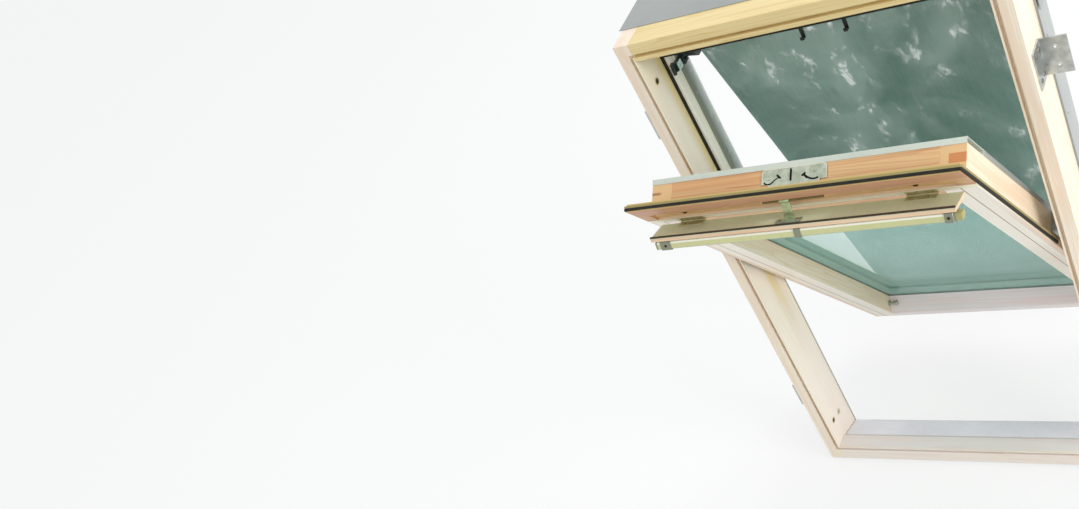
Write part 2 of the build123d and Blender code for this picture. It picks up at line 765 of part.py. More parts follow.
with BuildPart() as hinge_flap_leaves:
    for side in (-1, 1):
        x = side * hinge_x
        block(flap_place, (x - hinge_len / 2, x + hinge_len / 2), (-leaf_thick, -0.2), (leaf_near, leaf_far))
        for way in (-1, 1):
            piece = span(x + way * hinge_len / 2, x + way * third / 2)
            block(flap_place, piece, (-leaf_thick, -0.2), (0, leaf_near + 1))
            rod(flap_place, 0, 0, piece, knuckle_r)
        rod(flap_place, 0, 0, (x - hinge_len / 2, x + hinge_len / 2), hinge_pin_r)
save(hinge_flap_leaves, "hinge_flap_leaves")

# Lever on the flap
with BuildPart() as lever_strap:
    strap = (lever_x - lever_half, lever_x + lever_half)
    block(flap_place, strap, (flap_n0, lever_n), (lever_d - 1, lever_d + 1))
    block(flap_place, (lever_x - lever_foot, lever_x + lever_foot), (flap_n0, flap_n0 + 2),
          (lever_d - 1, lever_d + 15))
    rod(flap_place, lever_n, lever_d, strap, lever_hub)
    rod(flap_place, lever_n, lever_d, (strap[0] - 1, strap[1] + 1), lever_rod_r + running, Mode.SUBTRACT)
save(lever_strap, "lever_strap")

with BuildPart() as lever_rod:
    half = lever_rod_len / 2
    rod(flap_place, lever_n, lever_d, (lever_rod_x - half, lever_rod_x + half), lever_rod_r)
save(lever_rod, "lever_rod")

# Control bar
bar_low = bar_n - bar_deep / 2
bar_high = bar_n + bar_deep / 2
bar_d0 = bar_d - bar_wide / 2
bar_d1 = bar_d + bar_wide / 2
bar_corners = [(bar_low, bar_d0), (bar_low, bar_d1), (bar_high, bar_d1), (bar_high, bar_d0)]
with BuildPart() as control_bar:
    half = bar_half - bar_cap / 2
    run(flap_place, bar_corners, (-half + bar_cap / 2, half + bar_cap / 2), rounds=bar_corners,
        radius=bar_round)
save(control_bar, "control_bar")

with BuildPart() as bar_brackets:
    for x in ((-bar_half, holder_long - bar_half), (-holder_mid + 1, 1), (bar_half + bar_cap - holder_long,
                                                                         bar_half + bar_cap)):
        block(flap_place, x, (bar_high, flap_n2), (bar_d0 + holder_inset, bar_d1 - holder_inset))
    for x in ((-bar_half, bar_cap - bar_half), (bar_half, bar_half + bar_cap)):
        run(flap_place, bar_corners, x, rounds=bar_corners, radius=bar_round)
save(bar_brackets, "bar_brackets")

# Outside screen
with BuildPart() as roller_brackets:
    for side in (-1, 1):
        x = side * (cloth_half + roller_cheek_clear)
        block(frame_place, span(x, x + side * roller_cheek), (frame_depth, hood_outer_y - roller_cheek_clear_y),
              (head_stop_z - roller_cheek_drop, frame_height - 1))
        rod(frame_place, roller_y, roller_z, span(x - side, x + side * (roller_cheek + 1)), hook_pin_r + running,
            Mode.SUBTRACT)
save(roller_brackets, "roller_brackets")

with BuildPart() as screen_roller:
    rod(screen_place, 0, 0, (-cloth_half, cloth_half), roll_r - gap)
    journal = cloth_half + roller_cheek_clear + roller_cheek
    rod(screen_place, 0, 0, (-journal, journal), hook_pin_r)
save(screen_roller, "screen_roller")

with BuildPart() as screen_cloth:
    block(screen_place, (-cloth_half, cloth_half), (-roll_r - cloth_thick, -roll_r), (-cloth_long, 0))
save(screen_cloth, "screen_cloth")

tail_n = -roll_r + tail_clear
with BuildPart() as screen_tail:
    block(tail_place, (-cloth_half, cloth_half), (tail_n, tail_n + cloth_thick), (-bar_section / 2, tail_long))
save(screen_tail, "screen_tail")

with BuildPart() as screen_bar:
    half = bar_section / 2
    low = tail_n + cloth_thick
    corners = [(low, -half), (low, half), (bar_hollow, half), (bar_hollow, -half)]
    run(tail_place, corners, (-cloth_half, cloth_half), rounds=corners[2:], radius=5)
    rod(tail_place, 0, 0, (-hook_x - hook_thick, hook_x + hook_thick), hook_pin_r)
save(screen_bar, "screen_bar")

with BuildPart() as screen_hooks:
    for side in (-1, 1):
        x = span(side * hook_x, side * (hook_x + hook_thick))
        block(sash_place, x, (clad_top_v, hook_v), (hook_u - hook_r, hook_u + hook_r))
        rod(sash_place, hook_v, hook_u, x, hook_r)
        block(sash_place, span(side * (hook_x - hook_foot), side * (hook_x + hook_foot)),
              (clad_top_v, clad_top_v + 2), (hook_u - hook_r + 1, hook_u + hook_foot))
        rod(sash_place, hook_v, hook_u, (x[0] - 1, x[1] + 1), hook_pin_r + running, Mode.SUBTRACT)
save(screen_hooks, "screen_hooks")
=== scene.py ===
"""The roof window's finishes, small fittings, screen cloth, light and camera, around its built parts."""
import json
import math
import bpy
from mathutils import Matrix, Vector

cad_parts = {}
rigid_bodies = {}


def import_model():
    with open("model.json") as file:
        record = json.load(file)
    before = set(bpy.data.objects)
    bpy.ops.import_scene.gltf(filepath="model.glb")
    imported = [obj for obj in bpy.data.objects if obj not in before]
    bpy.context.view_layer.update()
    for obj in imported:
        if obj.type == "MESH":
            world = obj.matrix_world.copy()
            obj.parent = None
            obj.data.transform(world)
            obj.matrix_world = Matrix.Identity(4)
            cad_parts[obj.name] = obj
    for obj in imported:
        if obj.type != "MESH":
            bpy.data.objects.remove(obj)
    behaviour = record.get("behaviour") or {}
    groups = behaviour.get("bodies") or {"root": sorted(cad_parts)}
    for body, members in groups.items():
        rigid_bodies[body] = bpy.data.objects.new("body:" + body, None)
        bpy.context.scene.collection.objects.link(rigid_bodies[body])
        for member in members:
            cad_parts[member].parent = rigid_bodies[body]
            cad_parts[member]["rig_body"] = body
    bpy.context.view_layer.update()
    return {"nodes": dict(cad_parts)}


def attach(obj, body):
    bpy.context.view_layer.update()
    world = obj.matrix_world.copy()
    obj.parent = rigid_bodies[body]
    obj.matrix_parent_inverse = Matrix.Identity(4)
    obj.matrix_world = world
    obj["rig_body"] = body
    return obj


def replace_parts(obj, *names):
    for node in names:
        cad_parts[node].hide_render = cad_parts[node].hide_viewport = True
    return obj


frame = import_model()
nodes = frame["nodes"]

MM = 0.001
OPEN = math.radians(33.3)
FLAP = math.radians(43.0)
SCREEN = OPEN / 2
BOTH = (-1, 1)

# Places that the fittings and finishes take from the built parts, in millimetres on their body's axes.
# On the frame: y from its room face, z from its foot
JAMB_FACE = 354.0
STOP_FACE = 340.0
COVER_LEG = 338.2
COVER_SIDE = 394.0
OUTSIDE = 390.0
PIVOT_Z = 699.0
PLUG_Y, PLUG_FROM_PIVOT = 36.0, 577.5

# On the sash: y from the pivot outwards, z from the pivot up
SASH_TOP = 570.0
SASH_ROOM = -64.0
STILE_SIDE = 320.0
BEAD_LINE = 302.8
BOARD_TOP = 641.0
RECESS_FLOOR, RECESS_LOW, RECESS_HIGH = -58.3, 560.0, 597.0
HINGE_X = 235.0
HINGE_LEAF = 1.2
LOCK_LEFT, LOCK_RIGHT, LOCK_LOW, LOCK_HIGH, LOCK_THICK = -69.0, 65.0, -34.0, 8.0, 2.5
LOBE_IN, LOBE_R, LOBE_Y = 31.0, 18.0, -18.0
SLOT_FLOOR = SASH_TOP + 0.6
FLAP_PIN = (0, -66.5, 541)
SCREEN_HOOK = (0, 40, -664)

# On the flap: y and z from its hinge's pin
LEVER_X = -7.0
BAR_LOW, BAR_HIGH, BAR_NEAR, BAR_FAR = -29.4, -12.0, 41.0, 61.0
WRAP = 1.1

# On the screen: z from the roller's axis, and for its lower end from the hooks' axis
CLOTH_HALF = 316.0
CLOTH_LONG = 1180.0
CLOTH_THICK = 0.8
TAIL_FOOT, TAIL_LONG = -13, 165
TOP_BAND = -104.0

# The camera's image and lens, in pixels
IMAGE_WIDE, IMAGE_HIGH = 1079, 509
FOCAL, CENTRE_X, CENTRE_Y = 1182.478, 504.93, 404.411


class Axes:
    """A body's own axes at rest, in millimetres: x across the window, y outwards, z up along the body."""

    def __init__(self, turn, at):
        self.turn = turn
        self.at = Vector(at)
        self.matrix = Matrix.Translation(at) @ Matrix.Rotation(turn, 4, "X") @ Matrix.Scale(MM, 4)


# Each body's axes, in the metres of the shared frame
in_frame = Axes(0, (0, -0.060, -0.674))
in_sash = Axes(OPEN, (0, 0.054, 0.025))
in_flap = Axes(OPEN + FLAP, in_sash.matrix @ Vector(FLAP_PIN))
in_screen = Axes(SCREEN, (0, 0.094, 0.689))
in_tail = Axes(SCREEN, in_sash.matrix @ Vector(SCREEN_HOOK))
AXES = {"frame": in_frame, "sash": in_sash, "flap": in_flap, "bolt": in_sash, "roller": in_screen,
        "screen": in_screen, "screen_end": in_tail}


# Shaders
class Field:
    """A number or colour that varies over a surface, so that shader maths can be written as sums."""

    def __init__(self, graph, socket):
        self.graph = graph
        self.socket = socket

    def _math(self, operation, a, b=0.0, clamp=False):
        return self.graph.node("ShaderNodeMath", {"operation": operation, "use_clamp": clamp}, {0: a, 1: b})

    def __add__(self, other):
        return self._math("ADD", self, other)

    def __sub__(self, other):
        return self._math("SUBTRACT", self, other)

    def __mul__(self, other):
        return self._math("MULTIPLY", self, other)

    def __pow__(self, other):
        return self._math("POWER", self, other)

    def __rsub__(self, other):
        return self._math("SUBTRACT", other, self)

    __radd__ = __add__
    __rmul__ = __mul__

    def size(self):
        return self._math("ABSOLUTE", self)

    def part(self):
        """What is left over a whole number."""
        return self._math("FRACT", self)

    def clamp(self):
        return self._math("ADD", self, 0.0, clamp=True)

    def above(self, limit, soft):
        """0 below a limit and 1 above it, with a soft step."""
        return self.graph.node("ShaderNodeMapRange", {"interpolation_type": "SMOOTHSTEP"},
                               {0: self, 1: limit - soft, 2: limit + soft})

    def within(self, low, high, soft=0.5):
        return self.above(low, soft) * (1 - self.above(high, soft))


class Graph:
    """The nodes of one material or of the daylight."""

    def __init__(self, tree):
        self.tree = tree

    def node(self, kind, settings, inputs, output=0):
        made = self.tree.nodes.new(kind)
        for key, value in settings.items():
            setattr(made, key, value)
        for key, value in inputs.items():
            self.feed(made.inputs[key], value)
        return Field(self, made.outputs[output])

    def feed(self, socket, value):
        if isinstance(value, Field):
            self.tree.links.new(value.socket, socket)
        elif socket.type == "RGBA":
            socket.default_value = (*value, 1)
        else:
            socket.default_value = value

    def looked_at(self):
        """1 where the camera, a gloss or a pane looks straight at the surface."""
        camera, gloss, glass = (self.node("ShaderNodeLightPath", {}, {}, f"Is {ray} Ray")
                                for ray in ("Camera", "Glossy", "Transmission"))
        return (camera + gloss + glass).clamp()


class Finish(Graph):
    """One material, patterned in its body's own millimetres."""

    def __init__(self, name, axes=in_frame, **surface):
        self.material = bpy.data.materials.new(name)
        self.material.use_nodes = True
        super().__init__(self.material.node_tree)
        self.shader = self.tree.nodes["Principled BSDF"]
        here = self.node("ShaderNodeTexCoord", {}, {}, "Object")
        self.place = self.node("ShaderNodeMapping", {"vector_type": "TEXTURE"},
                               {"Vector": here, "Location": axes.at, "Rotation": (axes.turn, 0, 0),
                                "Scale": (MM, MM, MM)})
        self.x, self.y, self.z = (self.node("ShaderNodeSeparateXYZ", {}, {0: self.place}, axis)
                                  for axis in range(3))
        for socket, value in surface.items():
            self.set(socket.replace("_", " "), value)

    def set(self, socket, value):
        self.feed(self.shader.inputs[socket], value)

    def steps(self, x, y, z):
        """The place on the surface, counted in steps of so many millimetres each way."""
        return self.node("ShaderNodeVectorMath", {"operation": "MULTIPLY"},
                         {0: self.place, 1: (1 / x, 1 / y, 1 / z)})

    def noise(self, at, detail=3.0, roughness=0.5, distortion=0.0):
        return self.node("ShaderNodeTexNoise", {}, {"Vector": at, "Scale": 1.0, "Detail": detail,
                                                    "Roughness": roughness, "Distortion": distortion})

    def mix(self, factor, a, b):
        return self.node("ShaderNodeMix", {"data_type": "RGBA"}, {0: factor, 6: a, 7: b}, 2)

    def paint(self, colour):
        self.colour = colour
        self.set("Base Color", colour)

    def tint(self, where, colour):
        """Lay another colour over part of the surface."""
        self.paint(self.mix(where, self.colour, colour))
        return self

    def emboss(self, height, strength, depth):
        self.set("Normal", self.node("ShaderNodeBump", {}, {"Height": height, "Strength": strength,
                                                            "Distance": depth * MM}))


def shade(red, green, blue):
    """A colour as it shows on a screen, from 0 to 255, in the shader's own light units."""
    return tuple((c / 255 / 12.92) if c < 10.3 else ((c / 255 + 0.055) / 1.055) ** 2.4
                 for c in (red, green, blue))


def darker(colour, share):
    return tuple(c * share for c in colour)


def pine(name, axes, along, pale, deep, flush=None, figure=0.8, rough=0.4, knotty=0.5, blush=0.7):
    """Clear-lacquered pine: growth rings, fibres and a few small knots, with the grain along one axis."""
    f = Finish(name, axes, Coat_Weight=0.15, Coat_Roughness=0.28)

    def grain(across, lengthwise):
        return f.steps(*(lengthwise if axis == along else across for axis in "xyz"))

    wander = f.noise(grain(70, 700), 2.0)
    rings = ((f.noise(grain(34, 1100), 2.0, 0.45, 0.5) * 11).part()) ** 2.4
    streaks = f.noise(grain(3.5, 320), 3.0)
    fibre = f.noise(grain(0.8, 30), 2.0)
    depth = rings * 0.5 + streaks.above(0.56, 0.12) * 0.4 + fibre * 0.22 + wander * 0.5 - 0.38
    f.paint(f.mix((depth * figure).clamp(), pale, deep))
    if flush:
        f.tint(f.noise(grain(26, 520), 3.0).above(0.56, 0.09) * blush, flush)
    spot = f.node("ShaderNodeTexVoronoi", {}, {"Vector": grain(48, 300), "Scale": 1.0}, "Distance")
    rare = f.noise(grain(260, 900), 1.0).above(0.56, 0.01)
    f.tint((1 - spot.above(0.09, 0.05)) * rare * knotty, darker(deep, 0.45))
    f.set("Roughness", streaks * 0.16 + rough)
    f.emboss(fibre * 0.7 + rings * 0.3, 0.22, 0.35)
    return f


def lacquer(name, colour, axes=in_frame, rough=0.32, coat=0.25):
    """Lacquered sheet aluminium: a fine orange peel, faint run marks and dust in its hollows."""
    f = Finish(name, axes, Coat_Roughness=0.12, Coat_Weight=coat)
    weather = f.noise(f.steps(180, 180, 420), 5.0, 0.62)
    runs = f.noise(f.steps(9, 9, 340), 3.0)
    dull = (weather.above(0.52, 0.16) * 0.5 + runs.above(0.6, 0.1) * 0.25).clamp()
    f.paint(f.mix(dull, colour, darker(colour, 0.84)))
    f.set("Roughness", weather * 0.2 + rough - 0.06)
    f.emboss(f.noise(f.steps(1.4, 1.4, 1.4), 1.0), 0.1, 0.12)
    return f


def metal(name, colour, dull, axes=in_frame, along="x", rough=0.26, bright=1.0):
    """Plated or brushed metal with fine scratches along one axis and a clouded, handled look."""
    f = Finish(name, axes, Metallic=bright)
    brush = f.noise(f.steps(*(30 if axis == along else 0.5 for axis in "xyz")), 2.0)
    cloud = f.noise(f.steps(16, 16, 16), 4.0, 0.65)
    f.paint(f.mix((cloud.above(0.5, 0.2) * 0.7 + brush * 0.35).clamp(), colour, dull))
    f.set("Roughness", cloud * 0.25 + brush * 0.08 + rough - 0.12)
    f.emboss(brush, 0.14, 0.08)
    return f


def plastic(name, colour, axes=in_frame, rough=0.38):
    """Moulded plastic with a sparked skin."""
    f = Finish(name, axes)
    cloud = f.noise(f.steps(22, 22, 22), 3.0)
    f.paint(f.mix(cloud.above(0.5, 0.25) * 0.6, colour, darker(colour, 0.8)))
    f.set("Roughness", cloud * 0.2 + rough - 0.1)
    f.emboss(f.noise(f.steps(0.7, 0.7, 0.7), 1.0), 0.12, 0.08)
    return f


def rubber(name, colour, bloom, axes=in_frame):
    """Extruded rubber with a dull bloom and faint drawing lines."""
    f = Finish(name, axes, Specular_IOR_Level=0.3)
    dust = f.noise(f.steps(14, 14, 90), 4.0, 0.6)
    f.paint(f.mix(dust.above(0.56, 0.16) * 0.55, colour, bloom))
    f.set("Roughness", dust * 0.25 + 0.5)
    f.emboss(f.noise(f.steps(0.9, 0.9, 30), 1.0), 0.12, 0.1)
    return f


def pane(name, colour, body_share):
    """Coated float glass: a green-blue body that is seen through, with faint smears."""
    f = Finish(name, in_sash, IOR=1.5, Specular_IOR_Level=0.6, Coat_Weight=0.4, Coat_Roughness=0.02)
    smear = f.noise(f.steps(240, 240, 620), 4.0, 0.55)
    f.paint(f.mix(smear.above(0.5, 0.2) * 0.5, colour, tuple(c ** 0.85 for c in colour)))
    f.set("Roughness", smear.above(0.6, 0.15) * 0.05 + 0.02)
    f.set("Alpha", smear * 0.14 + body_share - 0.07)
    return f


def weave(name, axes, thread, worn, band):
    """Open sun-screen cloth: coated threads in a plain weave, with daylight between them."""
    f = Finish(name, axes, Specular_IOR_Level=0.25, Sheen_Weight=0.2)
    pitch = 1.5
    warp, weft = ((coordinate * (1 / pitch)).part() for coordinate in (f.x, f.z))
    hole = warp.above(0.62, 0.06) * weft.above(0.62, 0.06)
    slub = f.noise(f.steps(3, 3, 60), 2.0)
    cloud = f.noise(f.steps(230, 230, 330), 5.0, 0.62, 0.4)
    f.paint(f.mix((cloud.above(0.5, 0.16) * 0.5 + slub * 0.4).clamp(), thread, worn))
    f.tint(f.z.above(band, 2), shade(58, 80, 76))
    f.set("Roughness", slub * 0.2 + 0.6)
    hem = f.x.size().above(CLOTH_HALF - 9, 0.4)
    open_places = f.noise(f.steps(36, 36, 80), 4.0, 0.7).above(0.6, 0.07) * cloud.above(0.47, 0.1)
    light = hole * 0.45 + cloud.above(0.5, 0.14) * 0.16 + open_places * 0.4 + 0.06
    f.set("Alpha", 1 - light.clamp() * (1 - hem) * (1 - f.z.above(band, 2)))
    f.emboss(warp + weft, 0.2, 0.15)
    return f


CREAM, CREAM_DEEP = shade(244, 232, 214), shade(230, 204, 162)
SUNNED = shade(238, 218, 150)
HONEY, HONEY_DEEP = shade(228, 190, 138), shade(196, 136, 84)
RUST = shade(196, 128, 88)
GREY_SHEET = shade(150, 155, 152)
SILVER, SILVER_DULL = shade(206, 209, 206), shade(166, 169, 164)
THREAD, THREAD_WORN = shade(104, 142, 132), shade(176, 202, 188)

# Jambs: yellowed beside the gasket and under the head, pale along the room edge, pinkish at the foot,
# with a dark rim and a stain round each plug
jamb_pine = pine("jamb_pine", in_frame, "z", CREAM, CREAM_DEEP, shade(236, 214, 192))
on_reveal = 1 - jamb_pine.x.size().above(JAMB_FACE + 1, 0.5)
off_foot = jamb_pine.z.above(420, 160)
room_edge = 1 - jamb_pine.y.within(60, 100, 12)
from_plug = (jamb_pine.y - PLUG_Y) ** 2 + ((jamb_pine.z - PIVOT_Z).size() - PLUG_FROM_PIVOT) ** 2
jamb_pine.tint(on_reveal * jamb_pine.y.within(64, 90, 12) * jamb_pine.z.above(560, 60) * 0.75, SUNNED)
jamb_pine.tint(on_reveal * jamb_pine.z.above(1260, 90) * 0.5, SUNNED)
jamb_pine.tint(on_reveal * (1 - off_foot) * 0.7, shade(253, 238, 228))
jamb_pine.tint(on_reveal * room_edge * off_foot * 0.6, shade(253, 244, 228))
jamb_pine.tint((1 - from_plug.above(95, 30)) * on_reveal * 0.6, shade(214, 186, 112))
jamb_pine.tint((1 - from_plug.above(42, 14)) * on_reveal, shade(62, 46, 28))

# Head, sill and stops
head_pine = pine("head_pine", in_frame, "x", shade(232, 212, 156), shade(206, 170, 100))
sill_pine = pine("sill_pine", in_frame, "x", shade(240, 230, 220), shade(228, 206, 184),
                 shade(238, 216, 202))
sill_pine.tint(sill_pine.y.above(7, 3) * 0.5, shade(232, 226, 230))
stop_pine = pine("stop_pine", in_frame, "z", shade(252, 248, 236), shade(238, 228, 204), figure=0.6)
stop_pine.tint(stop_pine.y.within(108, 130, 5) * 0.5, shade(236, 226, 176))

# Stiles and flange strips: a pale room face with the glazing bead's line, strips that are ruddier low down,
# and on the end grain at the top a rail's joint and a stain
stile_pine = pine("stile_pine", in_sash, "z", shade(243, 228, 204), shade(226, 190, 146),
                  shade(240, 206, 172))
across = stile_pine.x.size()
on_room_face = 1 - stile_pine.y.above(SASH_ROOM + 1.2, 0.3)
on_end = stile_pine.z.above(SASH_TOP - 0.6, 0.3)
stile_pine.tint(on_room_face * 0.75, shade(246, 241, 232))
stile_pine.tint(on_room_face * across.within(BEAD_LINE - 1.1, BEAD_LINE + 1.1, 0.3) * 0.9,
                shade(140, 92, 58))
stile_pine.tint(across.above(STILE_SIDE + 1.2, 0.3) * (1 - stile_pine.z.above(330, 190)) * 0.45,
                shade(222, 168, 118))
stile_pine.tint(on_end, HONEY)
joint = stile_pine.x.within(289, STILE_SIDE + 2) * stile_pine.y.within(-25, -7)
stain = stile_pine.x.within(-STILE_SIDE - 2, -299, 4) * stile_pine.y.within(-14, -9, 2)
stile_pine.tint(on_end * joint, shade(206, 138, 84))
stile_pine.tint(on_end * stain * 0.8, shade(150, 82, 48))

# Rails, and the vent board: a pale foot, a paler recess, painted shade in ruddy brown on the front above it
# and an olive top edge
rail_pine = pine("rail_pine", in_sash, "x", HONEY, HONEY_DEEP, shade(218, 158, 104), figure=1.0,
                 blush=0.45)
foot_pine = pine("foot_pine", in_sash, "x", shade(240, 232, 232), shade(226, 208, 200),
                 shade(240, 214, 210))
board_pine = pine("board_pine", in_sash, "x", shade(214, 168, 122), shade(172, 112, 74), RUST,
                  figure=1.0, blush=0.4)
in_recess = board_pine.y.above(RECESS_FLOOR - 1, 0.5) * board_pine.z.within(RECESS_LOW - 1, RECESS_HIGH + 1)
on_front = 1 - board_pine.y.above(SASH_ROOM + 1, 0.5)
board_pine.tint(in_recess * 0.85, shade(232, 190, 132))
# Painted shade: the board's front above the recess is ruddy brown
board_pine.tint(board_pine.z.within(RECESS_HIGH + 5, BOARD_TOP - 1, 2) * on_front * 0.55,
                shade(190, 132, 104))
board_pine.tint(board_pine.z.above(BOARD_TOP - 0.5, 0.3) * 0.85, shade(204, 182, 112))
board_pine.tint(1 - board_pine.z.above(RECESS_LOW, 0.5), shade(242, 234, 206))
lath_pine = pine("lath_pine", in_flap, "x", shade(238, 214, 180), shade(200, 152, 112),
                 shade(228, 192, 160))

# Rubber and foam
gasket_rubber = rubber("gasket_rubber", shade(34, 30, 24), shade(60, 54, 42))
sash_rubber = rubber("sash_rubber", shade(24, 24, 20), shade(50, 48, 38), in_sash)
sash_rubber.tint(sash_rubber.y.above(-56.6, 0.4), shade(158, 144, 92))
flap_rubber = rubber("flap_rubber", shade(62, 46, 34), shade(84, 66, 48), in_flap)
glazing_rubber = rubber("glazing_rubber", shade(150, 156, 150), shade(176, 180, 172), in_sash)
dark_foam = rubber("dark_foam", shade(46, 46, 44), shade(70, 70, 66), in_sash)

# Lacquered sheet metal. A side cover's inner leg carries painted light: a painted highlight, white along
# its outer edge, and painted shade beside the stop.
# The control bar has a painted highlight along its upper edge and is greyer along its lower one
grey_lacquer = lacquer("grey_lacquer", GREY_SHEET)
sash_lacquer = lacquer("sash_lacquer", GREY_SHEET, in_sash)
cover_lacquer = lacquer("cover_lacquer", GREY_SHEET, rough=0.24, coat=0.6)
# Painted light on the cover's inner leg: a mid grey, a painted highlight along its outer edge and painted
# shade by the stop
inner_leg = 1 - cover_lacquer.x.size().above(COVER_LEG + 2, 0.5)
cover_lacquer.tint(inner_leg, shade(190, 194, 190))
cover_lacquer.tint(inner_leg * cover_lacquer.y.above(151, 12), shade(250, 251, 251))
cover_lacquer.tint(inner_leg * (1 - cover_lacquer.y.above(134, 9)) * 0.7, shade(108, 108, 86))
# Painted reflection: the sill cover's grey sheet is painted near-white for the bright daylight it reflects
sill_lacquer = lacquer("sill_lacquer", shade(248, 244, 252), rough=0.4, coat=0.1)
pale_lacquer = lacquer("pale_lacquer", shade(208, 218, 206), in_sash, rough=0.36, coat=0.1)
flap_lacquer = lacquer("flap_lacquer", shade(206, 210, 176), in_flap, rough=0.3, coat=0.3)
bar_lacquer = lacquer("bar_lacquer", shade(204, 204, 148), in_flap, rough=0.24, coat=0.5)
# Painted highlight: a pale band along the bar's upper edge
bar_lacquer.tint(bar_lacquer.y.above(BAR_HIGH - 3.5, 1.2), shade(238, 240, 224))
bar_lacquer.tint(1 - bar_lacquer.y.above(BAR_LOW + 2.2, 0.6), shade(150, 154, 132))
black_lacquer = lacquer("black_lacquer", shade(28, 31, 29), rough=0.36, coat=0.2)

# Plated metal. The lock plate's rim is bright, the floors of its slots are painted dark as shade, and the
# spacer's foot is painted teal for the glass's colour seen over it
zinc = metal("zinc", SILVER, SILVER_DULL)
sash_zinc = metal("sash_zinc", SILVER, SILVER_DULL, in_sash)
nickel = metal("nickel", shade(206, 214, 198), shade(158, 168, 146), in_sash, rough=0.3, bright=0.65)
nickel.tint(nickel.z.within(SASH_TOP + 2.3, SASH_TOP + 2.6, 0.1) * 0.7, shade(226, 226, 204))
# Painted shade: the slot floors and the plate's lowest millimetre are dark, for the shaded mortise under
# the plate
nickel.tint(nickel.z.within(SASH_TOP - 1, SASH_TOP + 0.9, 0.1), shade(16, 16, 12))
lever_metal = metal("lever_metal", shade(196, 204, 160), shade(142, 148, 104), in_flap, "y", bright=0.8)
lever_metal.tint(lever_metal.z.above(40.5, 0.5) * (1 - lever_metal.y.above(4, 0.5)) * 0.8,
                 shade(176, 192, 190))
rod_metal = metal("rod_metal", shade(132, 122, 78), shade(96, 86, 50), in_flap, bright=0.7)
hinge_brass = metal("hinge_brass", shade(204, 196, 146), shade(164, 154, 106), in_flap, bright=0.35)
roller_alloy = metal("roller_alloy", shade(194, 196, 196), shade(160, 163, 163), in_screen)
spacer_alloy = metal("spacer_alloy", shade(206, 224, 216), shade(180, 202, 194), in_sash, bright=0.3)
# Painted light: the spacer's foot is painted teal for the glass's colour seen over it
spacer_alloy.tint(1 - spacer_alloy.z.above(-600, 8), shade(70, 160, 166))
screw_steel = metal("screw_steel", shade(176, 174, 166), shade(116, 112, 104), rough=0.22)
dark_steel = metal("dark_steel", shade(92, 60, 38), shade(56, 36, 22), in_sash, rough=0.4)

# Plastics
dark_plug = plastic("dark_plug", shade(52, 38, 24), rough=0.45)
cream_plastic = plastic("cream_plastic", shade(222, 212, 184))
grey_plastic = plastic("grey_plastic", shade(134, 138, 118), in_flap)
olive_plastic = plastic("olive_plastic", shade(168, 162, 104), in_flap)
clip_plastic = plastic("clip_plastic", shade(222, 246, 242), rough=0.3)
black_plastic = plastic("black_plastic", shade(36, 48, 44), rough=0.42)

# Glass and screen cloth
room_glass = pane("room_glass", (0.30, 0.74, 0.63), body_share=0.26)
roof_glass = pane("roof_glass", (0.28, 0.72, 0.62), body_share=0.26)
screen_weave = weave("screen_weave", in_screen, THREAD, THREAD_WORN, TOP_BAND)
tail_weave = weave("tail_weave", in_tail, THREAD, THREAD_WORN, CLOTH_LONG)


# Work on one piece
def alone(piece):
    bpy.ops.object.select_all(action="DESELECT")
    piece.select_set(True)
    bpy.context.view_layer.objects.active = piece


def apply(piece, kind, **settings):
    """Shape a piece with a modifier and keep the result."""
    alone(piece)
    tool = piece.modifiers.new(kind.lower(), kind)
    for key, value in settings.items():
        setattr(tool, key, value)
    bpy.ops.object.modifier_apply(modifier=tool.name)


def ease(piece, width):
    """Smooth the rounds, keep the flats flat and round the sharp edges by a small width."""
    alone(piece)
    bpy.ops.object.shade_smooth_by_angle(angle=math.radians(35))
    if width:
        apply(piece, "BEVEL", width=width, segments=3, limit_method="ANGLE", angle_limit=math.radians(40),
              harden_normals=True)


def dress(node, finish, edge):
    """A built part with its triangles merged, its edges eased and its finish on."""
    piece = bpy.data.objects.new(node + "_finished", nodes[node].data.copy())
    bpy.context.scene.collection.objects.link(piece)
    alone(piece)
    bpy.ops.mesh.customdata_custom_splitnormals_clear()
    bpy.ops.object.mode_set(mode="EDIT")
    bpy.ops.mesh.select_all(action="SELECT")
    bpy.ops.mesh.remove_doubles(threshold=0.01 * MM)
    bpy.ops.mesh.dissolve_limited(angle_limit=math.radians(0.5))
    bpy.ops.object.mode_set(mode="OBJECT")
    ease(piece, edge * MM)
    piece.data.materials.clear()
    piece.data.materials.append(finish.material)
    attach(piece, nodes[node]["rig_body"])
    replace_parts(piece, node)
    return piece


def start(kind, scale=(1, 1, 1), **size):
    """A new primitive in a body's millimetres, alone in the selection."""
    bpy.ops.object.select_all(action="DESELECT")
    getattr(bpy.ops.mesh, f"primitive_{kind}_add")(**size)
    bpy.context.object.scale = scale
    bpy.ops.object.transform_apply(location=True, rotation=True, scale=True)
    return bpy.context.object


def block(low, high):
    """A block between its two far corners, the lower one first."""
    low, high = Vector(low), Vector(high)
    return start("cube", size=1, location=(low + high) / 2, scale=high - low)


def turn_to(way, axis="Z", top="Y"):
    """The turn that points one axis of a piece a given way."""
    return Vector(way).to_track_quat(axis, top).to_matrix().to_4x4()


def disc(at, radius, thick, facing=(0, 0, 1), sides=32):
    """A round blank whose middle is at a place and whose axis faces a way."""
    turn = Vector(facing).to_track_quat("Z", "Y").to_euler()
    return start("cylinder", vertices=sides, radius=radius, depth=thick, location=at, rotation=turn)


